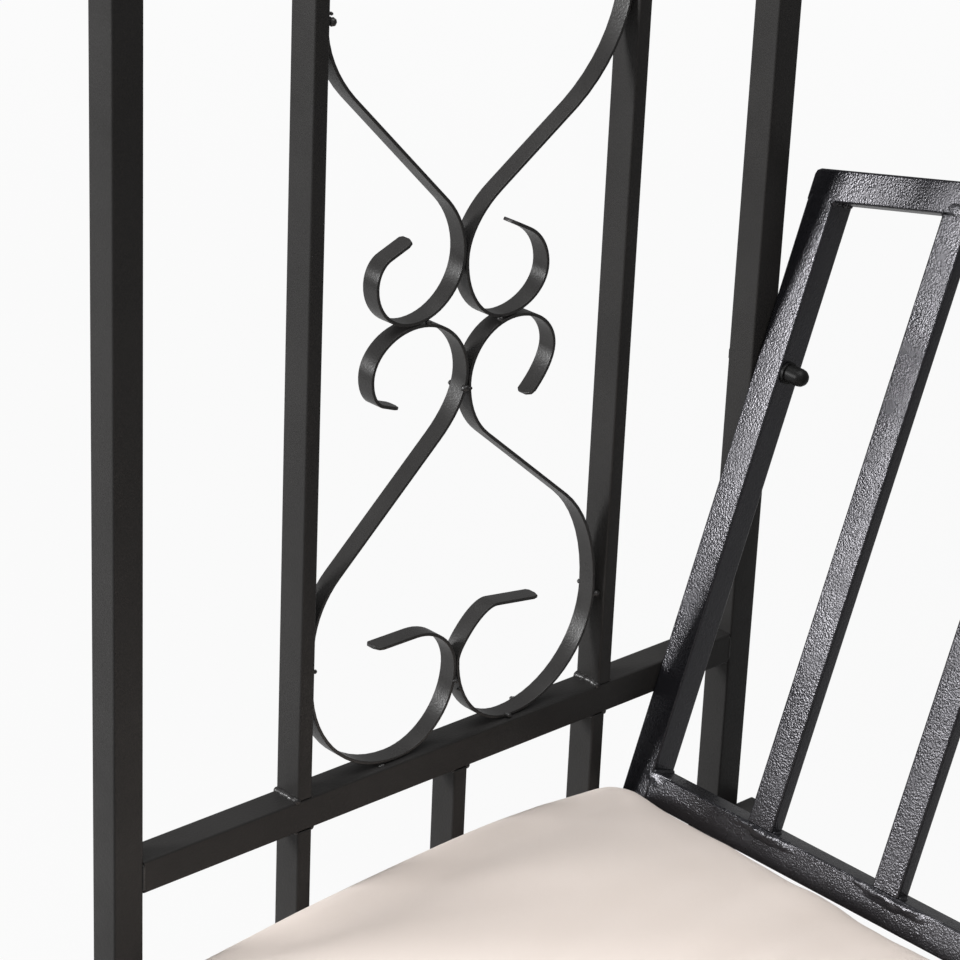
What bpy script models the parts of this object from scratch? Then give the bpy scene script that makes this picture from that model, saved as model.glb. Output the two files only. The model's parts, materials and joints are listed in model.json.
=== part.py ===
"""Garden arch bench: scrolled side panels, an arch over them, a slatted seat and back, and a cushion.

Metres, +Z up. The sitter faces -Y and X runs across the bench. Inside this script Y is counted
from the centre of the front posts, and an empty then shifts everything to the middle of the depth.
"""
import math

import bmesh
import bpy
from mathutils import Matrix, Vector

for old_object in list(bpy.data.objects):
    bpy.data.objects.remove(old_object, do_unlink=True)

# Clearances
weld_gap = 0.0003
plug_gap = 0.0003
hole_gap = 0.0002
side_gap = 0.0006
cushion_gap = 0.0035
cut_overrun = 0.0020

# Steel stock
post_size = 0.0200
tube_wall = 0.0012
corner_radius = 0.0014
corner_steps = 2
bar_depth = 0.0103
strip_width = 0.0120
strip_thickness = 0.0020
strip_near_tip_radius = 0.0045
strip_far_tip_radius = 0.0015
facet_turn = math.radians(6)
sharp_edge_angle = math.radians(35)

# Side panels
panel_spacing = 1.1410
panel_depth = 0.4870
ground_rail_height = 0.1100
seat_height = 0.4000
armrest_rise = 0.1275
scroll_field_height = 0.5290
post_height = 1.4300
upper_front_bar_place = 0.1250
upper_rear_bar_place = 0.3642
lower_front_bar_place = 0.1254
lower_middle_bar_place = 0.2461
lower_rear_bar_place = 0.3609
lower_scroll_meeting_place = 0.2427
upper_scroll_meeting_place = 0.2372
front_scroll_meeting_rise = 0.2695
rear_scroll_meeting_rise = 0.2598

# Feet: the posts' lower ends are closed by a plate
foot_plate = 0.0030

# Arch: its ends are necked down and plug into the posts
arch_leg = 0.0600
arch_steps = 48
spigot_length = 0.0350
spigot_wall = 0.0015
neck_length = 0.0060
rung_angles_share = (0.0, 0.34, 0.67)

# Seat back, placed by the centre line of its stiles
back_foot_place = 0.3943
back_foot_drop = 0.0840
back_crossing_rise = 0.1758
back_bolt_lift = 0.0071
back_height = 0.4070
back_slope = math.radians(10.35)
back_corner_radius = 0.0030
crown_radius = 0.9000
crown_steps = 12
slat_width = 0.0200
back_slat_count = 10

# Seat
seat_overhang = 0.0120
seat_rear_rail_place = 0.4300
seat_slat_count = 10
brace_width = 0.0200
brace_thickness = 0.0030
weld_depth = 0.0006

# Fasteners
bolt_radius = 0.0030
bolt_head_width = 0.0100
bolt_head_height = 0.0040
nut_radius = 0.0057
nut_side_height = 0.0100
nut_bore_depth = 0.0090
nut_flange_radius = 0.0070
nut_flange_thickness = 0.0018
round_sides = 12
nut_sides = 24
dome_steps = 4

# Cushion
cushion_thickness = 0.0590
cushion_crown = 0.0100
cushion_edge_band = 0.0220
cushion_corner_radius = 0.0240
cushion_side_pull = 0.0060
cushion_cells = (32, 14)
edge_roundness_share = 0.45
falloff_share = 0.05

# Heights and places that follow
upper_bar_places = {"front": upper_front_bar_place, "rear": upper_rear_bar_place}
lower_bar_places = {
    "front": lower_front_bar_place,
    "middle": lower_middle_bar_place,
    "rear": lower_rear_bar_place,
}
scroll_meeting_places = {"lower": lower_scroll_meeting_place, "upper": upper_scroll_meeting_place}
scroll_meeting_rises = {"front": front_scroll_meeting_rise, "rear": rear_scroll_meeting_rise}
armrest_height = seat_height + armrest_rise
upper_rail_bottom = armrest_height + scroll_field_height
half_post = post_size / 2
half_spacing = panel_spacing / 2
tube_bore = post_size - 2 * tube_wall
back_lean = math.atan2(panel_depth - back_foot_place, back_crossing_rise + back_foot_drop)
back_half = half_spacing - half_post - side_gap
stile_centre = back_half - half_post
back_bolt_height = armrest_height + back_crossing_rise + back_bolt_lift
seat_front = -half_post - seat_overhang
seat_rear = panel_depth + half_post + seat_overhang

# Finishes: colour, roughness and metallic value
powder_coat = ((0.030, 0.029, 0.029), 0.50, 0.0)
textured_coat = ((0.032, 0.031, 0.033), 0.38, 0.0)
black_fixing = ((0.012, 0.012, 0.012), 0.35, 0.3)
cream_fabric = ((0.72, 0.63, 0.56), 0.85, 0.0)

bench = bpy.data.objects.new("bench", None)
bpy.context.scene.collection.objects.link(bench)


def material_of(name, finish):
    """A Principled BSDF material of one piece."""
    colour, roughness, metallic = finish
    made = bpy.data.materials.new(name + "_finish")
    made.use_nodes = True
    shader = made.node_tree.nodes["Principled BSDF"]
    shader.inputs["Base Color"].default_value = (*colour, 1.0)
    shader.inputs["Roughness"].default_value = roughness
    shader.inputs["Metallic"].default_value = metallic
    return made


def add_node(name, bm, finish, location=(0, 0, 0), rotation=None, parent=bench, smooth=True):
    """Turns a bmesh into a named object with its own material."""
    bmesh.ops.recalc_face_normals(bm, faces=bm.faces)
    mesh = bpy.data.meshes.new(name)
    bm.to_mesh(mesh)
    bm.free()
    if smooth:
        mesh.shade_smooth()
        mesh.set_sharp_from_angle(angle=sharp_edge_angle)
    made = bpy.data.objects.new(name, mesh)
    made.data.materials.append(material_of(name, finish))
    bpy.context.scene.collection.objects.link(made)
    made.parent = parent
    made.location = location
    if rotation:
        made.rotation_euler = rotation.to_euler()
    return made


def tube_section(width, depth, wall, radius):
    """Outer corners as arcs and inner corners as points, counter-clockwise about the tube."""
    outer = []
    inner = []
    for k in range(4):
        sign_x = 1 if k in (0, 3) else -1
        sign_y = 1 if k in (0, 1) else -1
        arc = []
        for j in range(corner_steps + 1):
            angle = math.pi / 2 * (k + j / corner_steps)
            arc.append((
                sign_x * (width / 2 - radius) + radius * math.cos(angle),
                sign_y * (depth / 2 - radius) + radius * math.sin(angle),
            ))
        outer.append(arc)
        inner.append((sign_x * (width / 2 - wall), sign_y * (depth / 2 - wall)))
    return outer, inner


def sweep_rings(bm, stations, sections):
    """A hollow tube with open ends, through one section at each (centre, width, depth) station."""
    rings = []
    for (centre, across, through), (outer, inner) in zip(stations, sections):
        ring_outer = [[bm.verts.new(centre + across * a + through * b) for a, b in arc] for arc in outer]
        ring_inner = [bm.verts.new(centre + across * a + through * b) for a, b in inner]
        rings.append((ring_outer, ring_inner))
    for (outer_a, inner_a), (outer_b, inner_b) in zip(rings, rings[1:]):
        flat_a = [vertex for arc in outer_a for vertex in arc]
        flat_b = [vertex for arc in outer_b for vertex in arc]
        for ring_a, ring_b in ((flat_a, flat_b), (inner_a[::-1], inner_b[::-1])):
            for i in range(len(ring_a)):
                j = (i + 1) % len(ring_a)
                bm.faces.new((ring_a[i], ring_a[j], ring_b[j], ring_b[i]))
    for (ring_outer, ring_inner) in (rings[0], rings[-1]):
        for k in range(4):
            after = (k + 1) % 4
            for j in range(corner_steps):
                bm.faces.new((ring_inner[k], ring_outer[k][j], ring_outer[k][j + 1]))
            bm.faces.new((ring_inner[k], ring_outer[k][-1], ring_outer[after][0], ring_inner[after]))


def sweep_tube(bm, stations, width=post_size, depth=post_size):
    """A hollow tube of one section along stations of (centre, width direction, depth direction)."""
    section = tube_section(width, depth, tube_wall, corner_radius)
    sweep_rings(bm, stations, [section] * len(stations))


def slanted(vector, cut):
    """A section direction laid into the plane of an end cut, for a tube along local Z."""
    return Vector((vector.x, vector.y, -(vector.x * cut.x + vector.y * cut.y) / cut.z))


def straight_stations(start, length, start_cut=None, end_cut=None):
    """Two stations along local Z from a start point, each square or laid into its cut's plane."""
    stations = []
    for height, cut in ((0, start_cut), (length, end_cut)):
        across = Vector((1, 0, 0))
        through = Vector((0, 1, 0))
        if cut:
            across = slanted(across, cut)
            through = slanted(through, cut)
        stations.append((start + Vector((0, 0, height)), across, through))
    return stations


def axes_along(direction, across):
    """Rotation whose local Z runs along direction and local X along across."""
    through = direction.cross(across)
    return Matrix((across, through, direction)).transposed()


def tube_node(name, start, end, across, width, depth, finish=powder_coat, parent=bench):
    """One straight tube as its own node, with its origin at its start."""
    start = Vector(start)
    run = Vector(end) - start
    bm = bmesh.new()
    sweep_tube(bm, straight_stations(Vector((0, 0, 0)), run.length), width, depth)
    rotation = axes_along(run.normalized(), Vector(across))
    return add_node(name, bm, finish, start, rotation, parent)


def turned(bm, matrix, profile, sides, hexagonal=()):
    """Closed body turned about local Z from (radius, height) pairs that start and end on the axis.

    The rings whose places in the profile are named hexagonal are drawn out to a hexagon, with the
    radius as half its width across flats.
    """
    rings = []
    for index, (radius, height) in enumerate(profile):
        if radius == 0:
            rings.append([bm.verts.new(matrix @ Vector((0, 0, height)))])
            continue
        ring = []
        for k in range(sides):
            angle = 2 * math.pi * k / sides
            reach = radius
            if index in hexagonal:
                reach = radius / math.cos((angle + math.pi / 6) % (math.pi / 3) - math.pi / 6)
            ring.append(bm.verts.new(matrix @ Vector((reach * math.cos(angle), reach * math.sin(angle), height))))
        rings.append(ring)
    for low, high in zip(rings, rings[1:]):
        for k in range(sides):
            after = (k + 1) % sides
            if len(low) == 1:
                bm.faces.new((low[0], high[after], high[k]))
            elif len(high) == 1:
                bm.faces.new((low[k], low[after], high[0]))
            else:
                bm.faces.new((low[k], low[after], high[after], high[k]))


def pose(point, direction):
    """Matrix that carries local Z to a direction at a point."""
    direction = Vector(direction)
    across = Vector((0, 1, 0)) if abs(direction.y) < abs(direction.x) + abs(direction.z) else Vector((1, 0, 0))
    return Matrix.Translation(Vector(point)) @ axes_along(direction, across).to_4x4()


def drill(target, point, direction, radius, length):
    """Cuts a round hole, centred on a point and as long as given, through one piece."""
    bm = bmesh.new()
    half = length / 2
    turned(bm, pose(point, direction), ((0, -half), (radius, -half), (radius, half), (0, half)), round_sides)
    cutter = add_node("cut_" + target.name, bm, black_fixing, smooth=False)
    cutter.hide_render = True
    cutter.display_type = "WIRE"
    cut = target.modifiers.new("hole", "BOOLEAN")
    cut.operation = "DIFFERENCE"
    cut.solver = "EXACT"
    cut.object = cutter


# Scrolls: every knot is a share across its cell, a share up it, and a heading in degrees, where 0
# points to the rear and 90 up. The cell of a scroll ends where it touches a bar, a rail or a
# neighbouring scroll. The four were bent by hand, so no two are quite alike.
scroll_shares = {
    "lower_front": (
        (0.45, 0.28, 0), (0.715, 0.28, 0), (1.00, 0.17, -90), (0.60, 0.00, -180), (0.00, 0.25, -270),
        (0.00, 0.325, -270), (0.17, 0.485, -318), (0.82, 0.73, -318), (1.00, 0.865, -270),
        (0.65, 1.00, -180), (0.355, 0.905, -90), (0.435, 0.843, -20), (0.55, 0.826, -20),
    ),
    "lower_rear": (
        (0.57, 0.28, 172), (0.265, 0.30, 172), (0.085, 0.255, 228), (0.00, 0.19, 270), (0.39, 0.00, 360),
        (0.965, 0.255, 450), (0.72, 0.52, 500), (0.14, 0.735, 500), (0.00, 0.87, 450), (0.30, 1.00, 360),
        (0.575, 0.905, 270), (0.425, 0.795, 222),
    ),
    "upper_front": (
        (0.64, 0.188, 203), (0.475, 0.161, 203), (0.39, 0.10, 270), (0.655, 0.00, 360), (1.00, 0.135, 450),
        (0.865, 0.262, 494), (0.195, 0.534, 494), (0.00, 0.705, 450), (0.00, 0.80, 450), (0.61, 1.00, 360),
        (1.00, 0.845, 270), (0.73, 0.733, 180), (0.445, 0.733, 180),
    ),
    "upper_rear": (
        (0.30, 0.203, -28), (0.40, 0.18, -28), (0.525, 0.09, -90), (0.265, 0.00, -180), (0.00, 0.147, -270),
        (0.198, 0.287, -326), (0.665, 0.43, -324), (1.00, 0.70, -270), (1.00, 0.775, -270),
        (0.45, 1.00, -180), (0.00, 0.845, -90), (0.25, 0.735, 0), (0.516, 0.75, 8),
    ),
}


def scroll_cell(level, end):
    """Low and high corners (y, z) of the space for one scroll's centre line."""
    reach = strip_thickness / 2 + weld_gap
    half_meeting = (strip_thickness + weld_gap) / 2
    meeting = scroll_meeting_places[level]
    rise = armrest_height + scroll_meeting_rises[end]
    if end == "front":
        low_y = upper_bar_places["front"] + bar_depth / 2 + reach
        high_y = meeting - half_meeting
    else:
        low_y = meeting + half_meeting
        high_y = upper_bar_places["rear"] - bar_depth / 2 - reach
    if level == "lower":
        low_z = armrest_height + reach
        high_z = rise - half_meeting
    else:
        low_z = rise + half_meeting
        high_z = upper_rail_bottom - reach
    return (low_y, low_z), (high_y, high_z)


def bend(start, start_heading, end, end_heading):
    """Points and headings after start along the arc, or the straight, that ends at end."""
    turn = end_heading - start_heading
    if abs(turn) < facet_turn / 2:
        return [(end, end_heading)]
    go = Vector((math.cos(start_heading), math.sin(start_heading)))
    arrive = Vector((math.cos(end_heading), math.sin(end_heading)))
    across = end - start
    spread = go.x * arrive.y - go.y * arrive.x
    start_reach = (across.x * arrive.y - across.y * arrive.x) / spread
    end_reach = (go.x * across.y - go.y * across.x) / spread
    pull = 4 / 3 * math.tan(abs(turn) / 4) / math.tan(abs(turn) / 2)
    first = start + go * start_reach * pull
    second = end - arrive * end_reach * pull
    steps = math.ceil(abs(turn) / facet_turn)
    stations = []
    for k in range(1, steps + 1):
        t = k / steps
        s = 1 - t
        point = start * s ** 3 + first * 3 * s * s * t + second * 3 * s * t * t + end * t ** 3
        slope = (first - start) * s * s + (second - first) * 2 * s * t + (end - second) * t * t
        stations.append((point, math.atan2(slope.y, slope.x)))
    return stations


def scroll_stations(knots, cell):
    """Centre line of a scroll as (distance, point, heading), with extra stations at its tips."""
    low, high = Vector(cell[0]), Vector(cell[1])
    places = []
    for across, up, heading in knots:
        point = Vector((across * (high.x - low.x), up * (high.y - low.y)))
        places.append((point, math.radians(heading)))
    stations = [places[0]]
    for (point, heading), (next_point, next_heading) in zip(places, places[1:]):
        stations += bend(point, heading, next_point, next_heading)
    measured = []
    distance = 0.0
    for index, (point, heading) in enumerate(stations):
        if index:
            distance += (point - stations[index - 1][0]).length
        measured.append((distance, point, heading))
    tip_places = (strip_far_tip_radius, strip_near_tip_radius)
    for tip_place in [*tip_places, *(distance - place for place in tip_places)]:
        after = next(k for k, station in enumerate(measured) if station[0] > tip_place)
        (d0, p0, h0), (d1, p1, h1) = measured[after - 1], measured[after]
        share = (tip_place - d0) / (d1 - d0)
        if 0 < share < 1:
            swing = math.remainder(h1 - h0, 2 * math.pi)
            measured.insert(after, (tip_place, p0.lerp(p1, share), h0 + swing * share))
    return measured


def rounded_reach(distance, radius):
    """Half the strip's width at a distance from its tip, with a rounded corner."""
    if distance >= radius:
        return strip_width / 2
    return strip_width / 2 - radius + math.sqrt(radius ** 2 - (radius - distance) ** 2)


def scroll_node(name, knots, cell, panel_x, inward):
    """A scroll bent from flat strip, its tips rounded most on the bench's inner side."""
    stations = scroll_stations(knots, cell)
    length = stations[-1][0]
    bm = bmesh.new()
    rings = []
    for distance, point, heading in stations:
        to_tip = min(distance, length - distance)
        near = inward * rounded_reach(to_tip, strip_near_tip_radius)
        far = -inward * rounded_reach(to_tip, strip_far_tip_radius)
        normal = Vector((0, -math.sin(heading), math.cos(heading))) * strip_thickness / 2
        centre = Vector((0, point.x, point.y))
        rings.append([
            bm.verts.new(centre + Vector((x, 0, 0)) + normal * side)
            for x, side in ((near, 1), (far, 1), (far, -1), (near, -1))
        ])
    for ring, after in zip(rings, rings[1:]):
        for k in range(4):
            bm.faces.new((ring[k], ring[(k + 1) % 4], after[(k + 1) % 4], after[k]))
    bm.faces.new(rings[0])
    bm.faces.new(rings[-1])
    add_node(name, bm, powder_coat, (panel_x, cell[0][0], cell[0][1]))


def post_tube(bm, height):
    """A post along local Z from zero, open at its top and closed by a plate at its foot."""
    outer, inner = tube_section(post_size, post_size, tube_wall, corner_radius)
    flat = [point for arc in outer for point in arc]
    loops = []
    for points, low in ((flat, 0), (inner, foot_plate)):
        loops.append([[bm.verts.new((a, b, z)) for a, b in points] for z in (low, height)])
    for low_ring, high_ring in loops:
        for i in range(len(low_ring)):
            j = (i + 1) % len(low_ring)
            bm.faces.new((low_ring[i], low_ring[j], high_ring[j], high_ring[i]))
        bm.faces.new(low_ring)
    (_, rim), (_, mouth) = loops
    for k in range(4):
        first = k * (corner_steps + 1)
        for j in range(first, first + corner_steps):
            bm.faces.new((mouth[k], rim[j], rim[j + 1]))
        after = (first + corner_steps + 1) % len(rim)
        bm.faces.new((mouth[k], rim[first + corner_steps], rim[after], mouth[(k + 1) % 4]))


# Side panels
side_names = {-1: "left", 1: "right"}
post_places = {"front": 0, "rear": panel_depth}
across_x = (1, 0, 0)
posts = {}
for side, side_name in side_names.items():
    panel_x = side * half_spacing
    for end, place in post_places.items():
        bm = bmesh.new()
        post_tube(bm, post_height)
        posts[side, end] = add_node(f"{side_name}_{end}_post", bm, powder_coat, (panel_x, place, 0))
    rail_start = half_post + weld_gap
    rail_end = panel_depth - half_post - weld_gap
    rail_tops = {
        "ground_rail": ground_rail_height + post_size,
        "armrest_rail": armrest_height,
        "upper_rail": upper_rail_bottom + post_size,
    }
    for rail_name, rail_top in rail_tops.items():
        height = rail_top - half_post
        tube_node(f"{side_name}_{rail_name}", (panel_x, rail_start, height), (panel_x, rail_end, height),
                  across_x, post_size, post_size)
    upper_low = armrest_height + weld_gap
    upper_high = upper_rail_bottom - weld_gap
    for end, place in upper_bar_places.items():
        tube_node(f"{side_name}_{end}_inner_bar", (panel_x, place, upper_low), (panel_x, place, upper_high),
                  across_x, post_size, bar_depth)
    lower_low = ground_rail_height + post_size + weld_gap
    lower_high = armrest_height - post_size - weld_gap
    for bar_name, place in lower_bar_places.items():
        tube_node(f"{side_name}_lower_{bar_name}_bar", (panel_x, place, lower_low), (panel_x, place, lower_high),
                  across_x, post_size, bar_depth)
    for scroll_name, knots in scroll_shares.items():
        level, end = scroll_name.split("_")
        scroll_node(f"{side_name}_{scroll_name}_scroll", knots, scroll_cell(level, end), panel_x, -side)


# Arch: two tubes, each a half circle on two legs, with rungs between them
arch_springing = post_height + weld_gap + arch_leg


def arch_point(angle):
    """Centre of an arch tube and its radial direction, at an angle from the left springing."""
    radial = Vector((-math.cos(angle), 0, math.sin(angle)))
    return Vector((0, 0, arch_springing)) + radial * half_spacing, radial


arch_legs = []
spigot = tube_section(tube_bore - 2 * plug_gap, tube_bore - 2 * plug_gap, spigot_wall, corner_radius / 2)
full = tube_section(post_size, post_size, tube_wall, corner_radius)
shoulder = (full[0], spigot[1])
for side in (-1, 1):
    leg = []
    for height, section in (
        (post_height - spigot_length, spigot), (post_height + weld_gap, spigot),
        (post_height + weld_gap, shoulder), (post_height + weld_gap + neck_length, full),
    ):
        leg.append((Vector((side * half_spacing, 0, height)), Vector((side, 0, 0)), section))
    arch_legs.append(leg)
left_leg, right_leg = arch_legs
arch_run = [(*arch_point(math.pi * k / arch_steps), full) for k in range(arch_steps + 1)]
for end, place in post_places.items():
    bm = bmesh.new()
    path = left_leg + arch_run + right_leg[::-1]
    stations = [(point, radial, Vector((0, 1, 0))) for point, radial, section in path]
    sweep_rings(bm, stations, [section for point, radial, section in path])
    add_node(f"arch_{end}_tube", bm, powder_coat, (0, place, 0))
rung_start = half_post + weld_gap
rung_end = panel_depth - half_post - weld_gap
for side, side_name in side_names.items():
    for k, share in enumerate(rung_angles_share):
        centre, radial = arch_point(math.pi / 2 * (1 + side * (1 - share)))
        start = centre + Vector((0, rung_start, 0))
        end = centre + Vector((0, rung_end, 0))
        tangent = Vector((radial.z, 0, -radial.x))
        tube_node(f"arch_{side_name}_rung_{k + 1}", start, end, tangent, post_size, bar_depth)

# Seat back: an empty lies in the plane of its front face, with local Z up the slope
back_plane = bpy.data.objects.new("back_plane", None)
bpy.context.scene.collection.objects.link(back_plane)
back_plane.parent = bench
back_normal = Vector((0, math.cos(back_lean), -math.sin(back_lean)))
back_up = Vector((0, math.sin(back_lean), math.cos(back_lean)))
back_foot = Vector((0, back_foot_place, armrest_height - back_foot_drop)) - back_normal * half_post
back_plane.location = back_foot
back_plane.rotation_euler = (-back_lean, 0, 0)
crown_reach = crown_radius * math.sin(back_slope)
flank_rise = (back_half - crown_reach) * math.tan(back_slope)
crown_top = back_height + flank_rise + crown_radius * (1 - math.cos(back_slope))


def top_rail_at(x, depth_below=0):
    """Height in the back's plane, and slope, of a line that runs a depth below the top rail's edge."""
    if abs(x) > crown_reach - depth_below * math.sin(back_slope):
        height = back_height + (back_half - abs(x)) * math.tan(back_slope) - depth_below / math.cos(back_slope)
        return height, -math.copysign(back_slope, x)
    radius = crown_radius - depth_below
    angle = math.asin(x / radius)
    return crown_top - crown_radius + radius * math.cos(angle), -angle


corner_turns = [math.pi / 2 * k / corner_steps for k in range(corner_steps + 1)]
corner_insets = [back_corner_radius * (1 - math.cos(turn)) for turn in corner_turns]
rail_x = [inset - back_half for inset in corner_insets]
rail_x += [crown_reach * (2 * k / crown_steps - 1) for k in range(crown_steps + 1)]
rail_x += [back_half - inset for inset in reversed(corner_insets)]
stations = []
for index, x in enumerate(rail_x):
    from_end = min(index, len(rail_x) - 1 - index)
    edge, slope = top_rail_at(x)
    if from_end <= corner_steps:
        drop = back_corner_radius * (1 - math.sin(corner_turns[from_end]))
        upright = post_size / math.cos(slope) - drop
        point = Vector((x, half_post, edge - drop - upright / 2))
        across = Vector((0, 0, upright / post_size))
    else:
        across = Vector((-math.sin(slope), 0, math.cos(slope)))
        point = Vector((x, half_post, edge)) - across * half_post
    stations.append((point, across, Vector((0, -1, 0))))
bm = bmesh.new()
sweep_tube(bm, stations)
add_node("back_top_rail", bm, textured_coat, parent=back_plane)

stiles = {}
foot_cut = Vector((0, -math.sin(back_lean), math.cos(back_lean)))
centre_foot = back_foot + back_normal * half_post
stile_drop = (centre_foot.z - seat_height - weld_gap) / math.cos(back_lean)
for side, side_name in side_names.items():
    x = side * stile_centre
    under, slope = top_rail_at(x, post_size)
    top_cut = Vector((-math.sin(slope), 0, math.cos(slope)))
    bm = bmesh.new()
    start = Vector((0, 0, -stile_drop))
    length = stile_drop + under - weld_gap / math.cos(slope)
    sweep_tube(bm, straight_stations(start, length, foot_cut, top_cut))
    stiles[side] = add_node(f"back_{side_name}_stile", bm, textured_coat, (x, half_post, 0), parent=back_plane)

rail_half = back_half - post_size - weld_gap
tube_node("back_bottom_rail", (-rail_half, half_post, half_post), (rail_half, half_post, half_post),
          (0, 1, 0), post_size, post_size, textured_coat, back_plane)
inner_half = back_half - post_size
back_gap = (2 * inner_half - back_slat_count * slat_width) / (back_slat_count + 1)
for k in range(back_slat_count):
    x = -inner_half + (k + 1) * back_gap + (k + 1 / 2) * slat_width
    under, slope = top_rail_at(x, post_size)
    top_cut = Vector((-math.sin(slope), 0, math.cos(slope)))
    bm = bmesh.new()
    length = under - weld_gap / math.cos(slope) - post_size - weld_gap
    sweep_tube(bm, straight_stations(Vector((0, 0, 0)), length, None, top_cut), slat_width, bar_depth)
    add_node(f"back_slat_{k + 1}", bm, textured_coat, (x, bar_depth / 2, post_size + weld_gap), parent=back_plane)

# Seat frame
seat_side_rails = {}
seat_rail_height = seat_height - half_post
for side, side_name in side_names.items():
    x = side * stile_centre
    start = (x, seat_front, seat_rail_height)
    end = (x, seat_rear, seat_rail_height)
    seat_side_rails[side] = tube_node(f"seat_{side_name}_rail", start, end, across_x, post_size, post_size)
for end_name, place in (("front", seat_front + half_post), ("rear", seat_rear_rail_place)):
    start = (-rail_half, place, seat_rail_height)
    end = (rail_half, place, seat_rail_height)
    tube_node(f"seat_{end_name}_rail", start, end, (0, 1, 0), post_size, post_size)
seat_gap = (2 * inner_half - seat_slat_count * slat_width) / (seat_slat_count + 1)
slat_start = seat_front + post_size + weld_gap
slat_length = seat_rear_rail_place - half_post - weld_gap - slat_start
bm = bmesh.new()
sweep_tube(bm, straight_stations(Vector((0, 0, 0)), slat_length), slat_width, bar_depth)
first_slat = Vector((-inner_half + seat_gap + slat_width / 2, slat_start, seat_height - bar_depth / 2))
slats = add_node("seat_slats", bm, powder_coat, first_slat, axes_along(Vector((0, 1, 0)), Vector((1, 0, 0))))
row = slats.modifiers.new("row", "ARRAY")
row.count = seat_slat_count
row.use_relative_offset = False
row.use_constant_offset = True
row.constant_offset_displace = (seat_gap + slat_width, 0, 0)
brace_low = seat_height - bar_depth + weld_depth - brace_thickness
brace_place = slat_start + slat_length / 2
bm = bmesh.new()
for x in (-rail_half, rail_half):
    for y in (brace_place - brace_width / 2, brace_place + brace_width / 2):
        for z in (brace_low, brace_low + brace_thickness):
            bm.verts.new((x, y, z))
bmesh.ops.convex_hull(bm, input=bm.verts)
brace = add_node("seat_brace", bm, powder_coat, smooth=False)
brace.hide_render = True
brace.display_type = "WIRE"
weld = slats.modifiers.new("weld", "BOOLEAN")
weld.operation = "UNION"
weld.solver = "EXACT"
weld.object = brace

# Bolts that hold the back's stiles to the rear posts, with a round flanged dome nut on each
grip = 2 * post_size + side_gap
hole_radius = bolt_radius + hole_gap
for side, side_name in side_names.items():
    outer_face = Vector((side * (half_spacing + half_post), panel_depth, back_bolt_height))
    inward = Vector((-side, 0, 0))
    nut_seat = grip + weld_gap
    drill(posts[side, "rear"], outer_face + inward * half_post, inward, hole_radius, post_size + 2 * cut_overrun)
    stile_middle = outer_face + inward * (grip - half_post)
    drill(stiles[side], stile_middle, inward, hole_radius, post_size + 2 * cut_overrun)
    bm = bmesh.new()
    bolt_end = nut_seat + nut_bore_depth - weld_gap
    turned(bm, pose(Vector((0, 0, 0)), inward), (
        (0, -weld_gap - bolt_head_height), (bolt_head_width / 2, -weld_gap - bolt_head_height),
        (bolt_head_width / 2, -weld_gap), (bolt_radius, -weld_gap), (bolt_radius, bolt_end), (0, bolt_end),
    ), round_sides, hexagonal=(1, 2))
    add_node(f"back_{side_name}_bolt", bm, black_fixing, outer_face)
    dome_turns = [math.pi / 2 * k / dome_steps for k in range(dome_steps)]
    dome = [(nut_radius * math.cos(turn), nut_side_height + nut_radius * math.sin(turn)) for turn in dome_turns]
    bm = bmesh.new()
    turned(bm, pose(Vector((0, 0, 0)), inward), (
        (0, nut_bore_depth), (hole_radius, nut_bore_depth), (hole_radius, 0), (nut_flange_radius, 0),
        (nut_flange_radius, nut_flange_thickness), (nut_radius, nut_flange_thickness),
        *dome, (0, nut_side_height + nut_radius),
    ), nut_sides)
    add_node(f"back_{side_name}_dome_nut", bm, black_fixing, outer_face + inward * nut_seat)


# Seat cushion
def falloff_power(band, half):
    """Power that brings a share down to almost nothing a band's width inside the edge."""
    return math.log(falloff_share) / math.log(1 - band / half)


cushion_bottom = seat_height + weld_gap
cushion_middle = cushion_bottom + cushion_thickness / 2
stile_face = back_foot.y + (cushion_middle - back_foot.z) * math.tan(back_lean)
cushion_front = seat_front
cushion_rear = stile_face - cushion_gap
cushion_half_x = half_spacing - half_post - side_gap
cushion_half_y = (cushion_rear - cushion_front) / 2
cells_x, cells_y = cushion_cells
edge_x = falloff_power(cushion_edge_band, cushion_half_x)
edge_y = falloff_power(cushion_edge_band, cushion_half_y)
corner_x = falloff_power(cushion_corner_radius, cushion_half_x)
corner_y = falloff_power(cushion_corner_radius, cushion_half_y)
corner_inset = cushion_corner_radius * (1 - math.sqrt(1 / 2))


def cushion_point(u, v, top):
    """Point of the cushion's top or bottom skin, for u and v from -1 to 1 over its plan."""
    s = math.sin(math.pi / 2 * u)
    t = math.sin(math.pi / 2 * v)
    pull_x = cushion_side_pull * (1 - t * t) + corner_inset * abs(t) ** corner_y
    pull_y = cushion_side_pull * (1 - s * s) + corner_inset * abs(s) ** corner_x
    fullness = max(0, (1 - abs(s) ** edge_x) * (1 - abs(t) ** edge_y)) ** edge_roundness_share
    if top:
        height = cushion_thickness / 2 * fullness + cushion_crown * (1 - s * s) * (1 - t * t)
    else:
        height = -cushion_thickness / 2 * fullness
    return Vector((s * (cushion_half_x - pull_x), t * (cushion_half_y - pull_y), height))


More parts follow.
